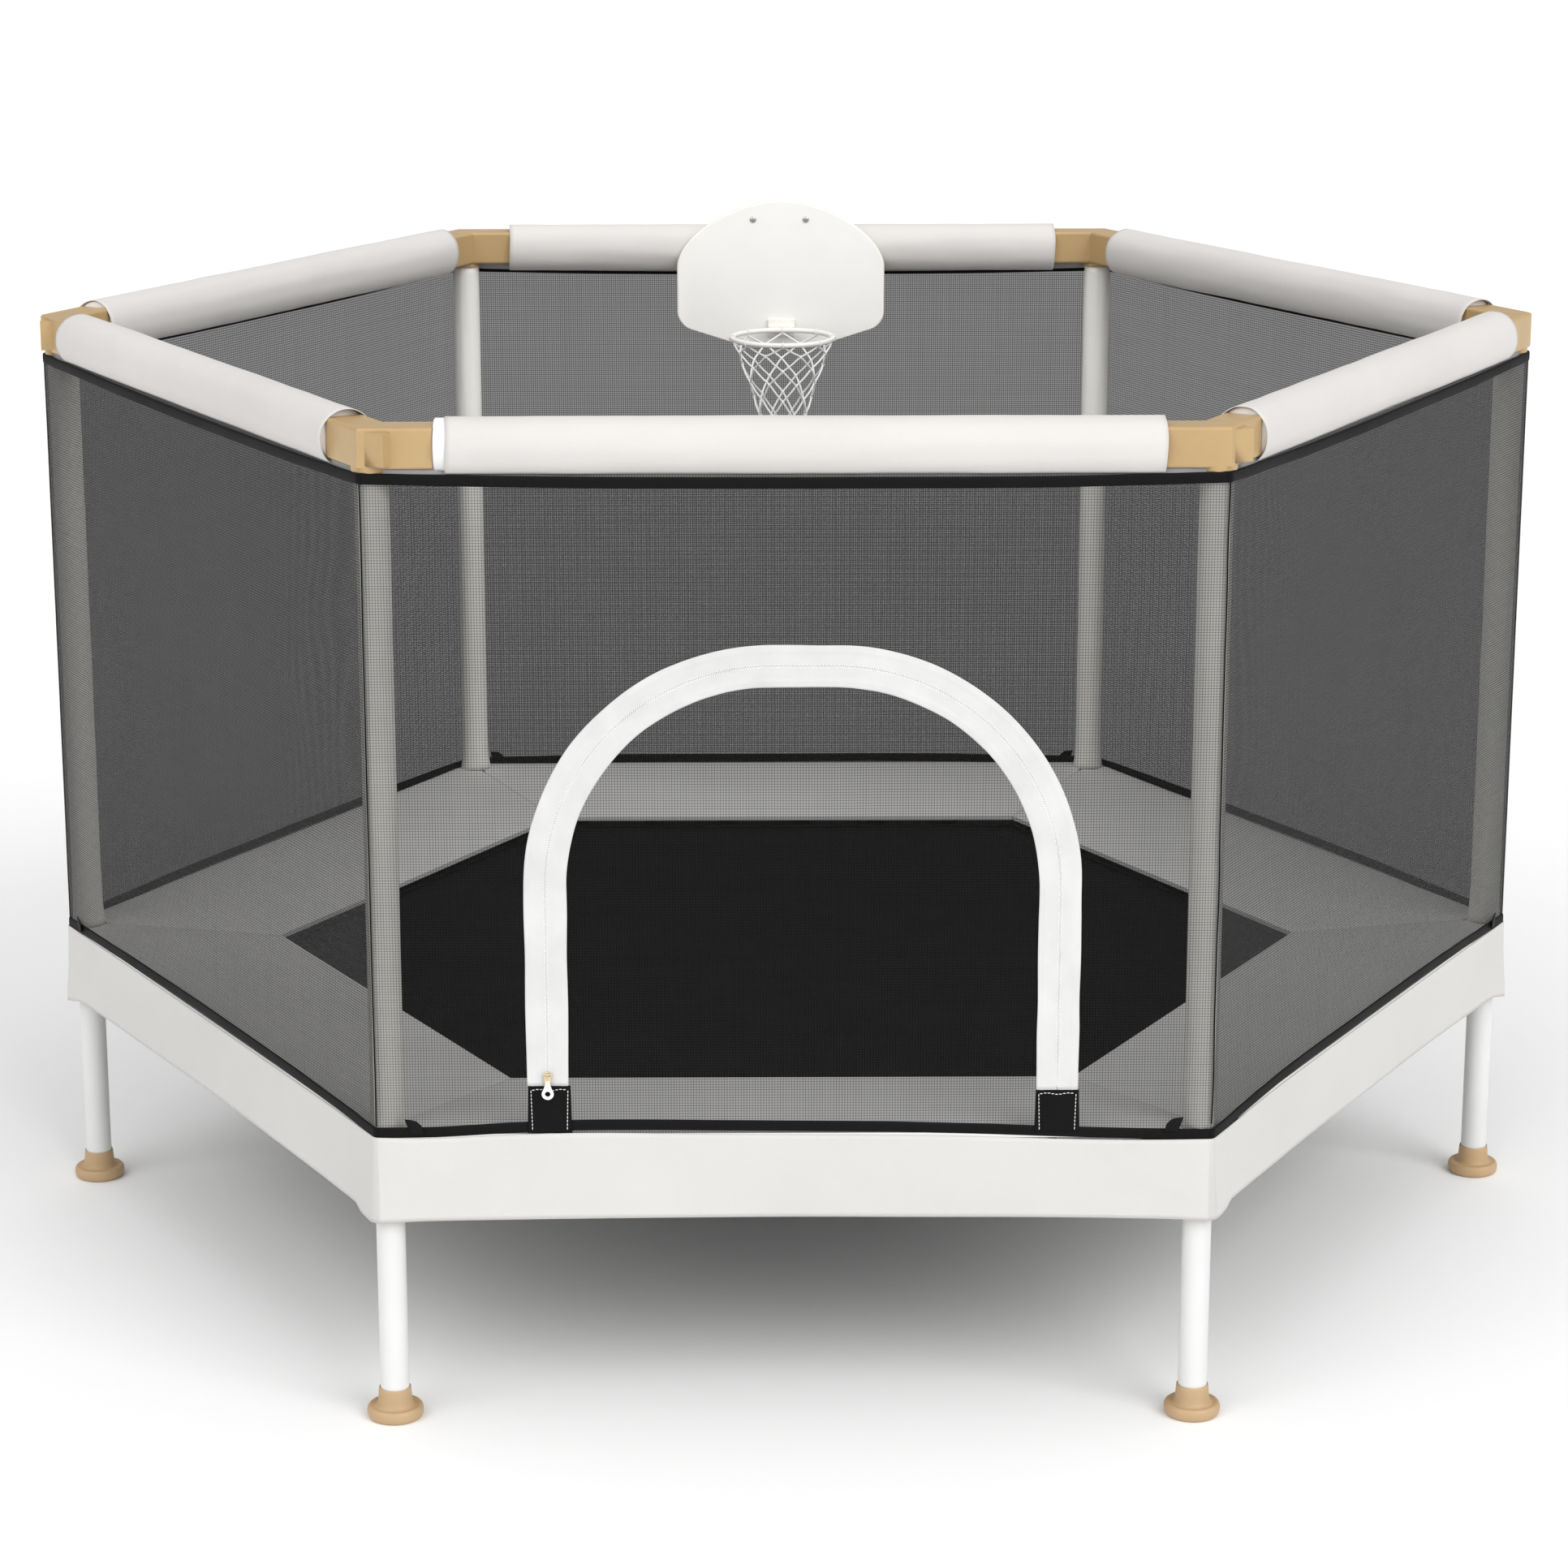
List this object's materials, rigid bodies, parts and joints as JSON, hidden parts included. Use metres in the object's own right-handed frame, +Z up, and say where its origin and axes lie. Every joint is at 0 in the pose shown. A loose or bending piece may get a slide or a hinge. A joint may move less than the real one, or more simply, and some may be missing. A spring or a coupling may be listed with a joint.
{
  "type": "trampoline",
  "caption": "Hexagonal play trampoline with padded rails, net enclosure, zipped arch door, skirted spring pad and a small basketball hoop.",
  "frame": {"origin": "on the floor, at the middle of the hexagon", "axes": "+X along the longest extent, between the left and right corners; -Y towards the door side; +Z up"},
  "size_m": [1.4496, 1.2641, 0.918],
  "materials": {
    "tan_rubber": "moulded tan rubber, satin",
    "white_steel": "white powder coat, semi-gloss",
    "tan_plastic": "injection-moulded sand-coloured plastic, fine satin texture",
    "cream_sleeve": "cream-white sleeve over steel tube, satin",
    "rail_cover": "white coated fabric over white foam",
    "black_mat": "tight black polypropylene weave",
    "black_elastic": "black braided elastic cord",
    "pad_cover": "white coated fabric over foam",
    "skirt_cloth": "white coated fabric, matte",
    "black_net": "black woven mesh, see-through",
    "gold_zip": "pale gold plated die-cast",
    "white_pull": "white lacquered wire",
    "white_board": "white moulded plastic, satin",
    "white_rim": "cream-white coated steel wire",
    "white_cord": "white knotted cord"
  },
  "bodies": {
    "root": {"foot_right": "tan_rubber", "leg_right": "white_steel", "base_corner_right": "tan_plastic", "post_right": "cream_sleeve", "top_corner_right": "tan_plastic", "foot_back_right": "tan_rubber", "leg_back_right": "white_steel", "base_corner_back_right": "tan_plastic", "post_back_right": "cream_sleeve", "top_corner_back_right": "tan_plastic", "foot_back_left": "tan_rubber", "leg_back_left": "white_steel", "base_corner_back_left": "tan_plastic", "post_back_left": "cream_sleeve", "top_corner_back_left": "tan_plastic", "foot_left": "tan_rubber", "leg_left": "white_steel", "base_corner_left": "tan_plastic", "post_left": "cream_sleeve", "top_corner_left": "tan_plastic", "foot_front_left": "tan_rubber", "leg_front_left": "white_steel", "base_corner_front_left": "tan_plastic", "post_front_left": "cream_sleeve", "top_corner_front_left": "tan_plastic", "foot_front_right": "tan_rubber", "leg_front_right": "white_steel", "base_corner_front_right": "tan_plastic", "post_front_right": "cream_sleeve", "top_corner_front_right": "tan_plastic", "frame_side_front": "white_steel", "top_rail_front": "white_steel", "rail_pad_front": "rail_cover", "frame_side_right_front": "white_steel", "top_rail_right_front": "white_steel", "rail_pad_right_front": "rail_cover", "frame_side_right_back": "white_steel", "top_rail_right_back": "white_steel", "rail_pad_right_back": "rail_cover", "frame_side_back": "white_steel", "top_rail_back": "white_steel", "rail_pad_back": "rail_cover", "frame_side_left_back": "white_steel", "top_rail_left_back": "white_steel", "rail_pad_left_back": "rail_cover", "frame_side_left_front": "white_steel", "top_rail_left_front": "white_steel", "rail_pad_left_front": "rail_cover", "bungee_cord": "black_elastic", "spring_pad": "pad_cover", "skirt": "skirt_cloth", "net_front": "black_net", "net_wall": "black_net", "backboard": "white_board", "hoop_rim": "white_rim", "hoop_net": "white_cord"},
    "mat": {"jump_mat": "black_mat"},
    "door": {"door_flap": "black_net"},
    "slider": {"zip_slider": "gold_zip"},
    "pull": {"zip_pull": "white_pull"}
  },
  "joints": [
    {"name": "mat_bounce", "type": "slide", "parent": "root", "child": "mat", "axis": [0, 0, -1], "range_m": [0, 0.12], "stiffness_N_per_m": 4000, "deforming": ["bungee_cord"]},
    {"name": "door_fold", "type": "hinge", "parent": "root", "child": "door", "pos_m": [0.007, -0.62282, 0.3105], "axis": [-1, 0, 0], "range_deg": [0, 95]},
    {"name": "zip_travel", "type": "slide", "parent": "root", "child": "slider", "axis": [0, 0, 1], "range_m": [0, 0.16]},
    {"name": "pull_swing", "type": "hinge", "parent": "slider", "child": "pull", "pos_m": [-0.211, -0.62932, 0.3215], "axis": [-1, 0, 0], "range_deg": [0, 165]}
  ]
}
